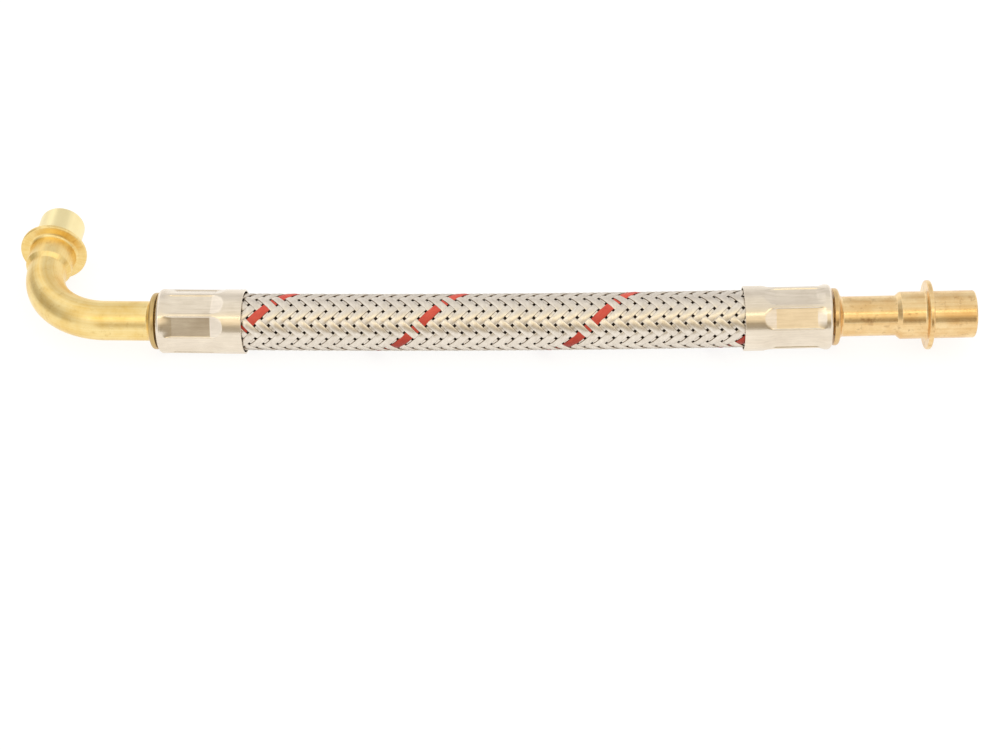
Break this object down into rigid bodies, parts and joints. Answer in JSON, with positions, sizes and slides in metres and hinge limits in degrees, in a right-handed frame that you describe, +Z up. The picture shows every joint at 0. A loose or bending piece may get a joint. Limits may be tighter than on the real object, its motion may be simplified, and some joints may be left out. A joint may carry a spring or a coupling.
{
  "type": "expansion vessel pipe",
  "caption": "Flexible braided hose with crimped ferrules, a bent brass spigot fitting at one end and a straight brass spigot fitting at the other, each with a clip flange.",
  "frame": {"origin": "under the middle of the pipe's box, on the surface that it lies on", "axes": "+X along the hose, from the bent fitting to the straight one; +Y the way the bent fitting's spigot points; +Z up"},
  "size_m": [0.2452, 0.049, 0.0173],
  "materials": {
    "brass_yellow": "turned and bent, bright, with fine tool marks",
    "brass_tan": "turned, bright, with light tarnish",
    "drawn_steel": "drawn stainless, satin, with press marks",
    "braided_steel": "bright wire, woven in bands",
    "tracer_red": "coloured strands, satin",
    "black_rubber": "matt"
  },
  "bodies": {
    "root": {"elbow_fitting": "brass_yellow", "straight_fitting": "brass_tan", "elbow_ferrule": "drawn_steel", "straight_ferrule": "drawn_steel", "wire_braid": "braided_steel", "rubber_liner": "black_rubber"}
  },
  "joints": []
}
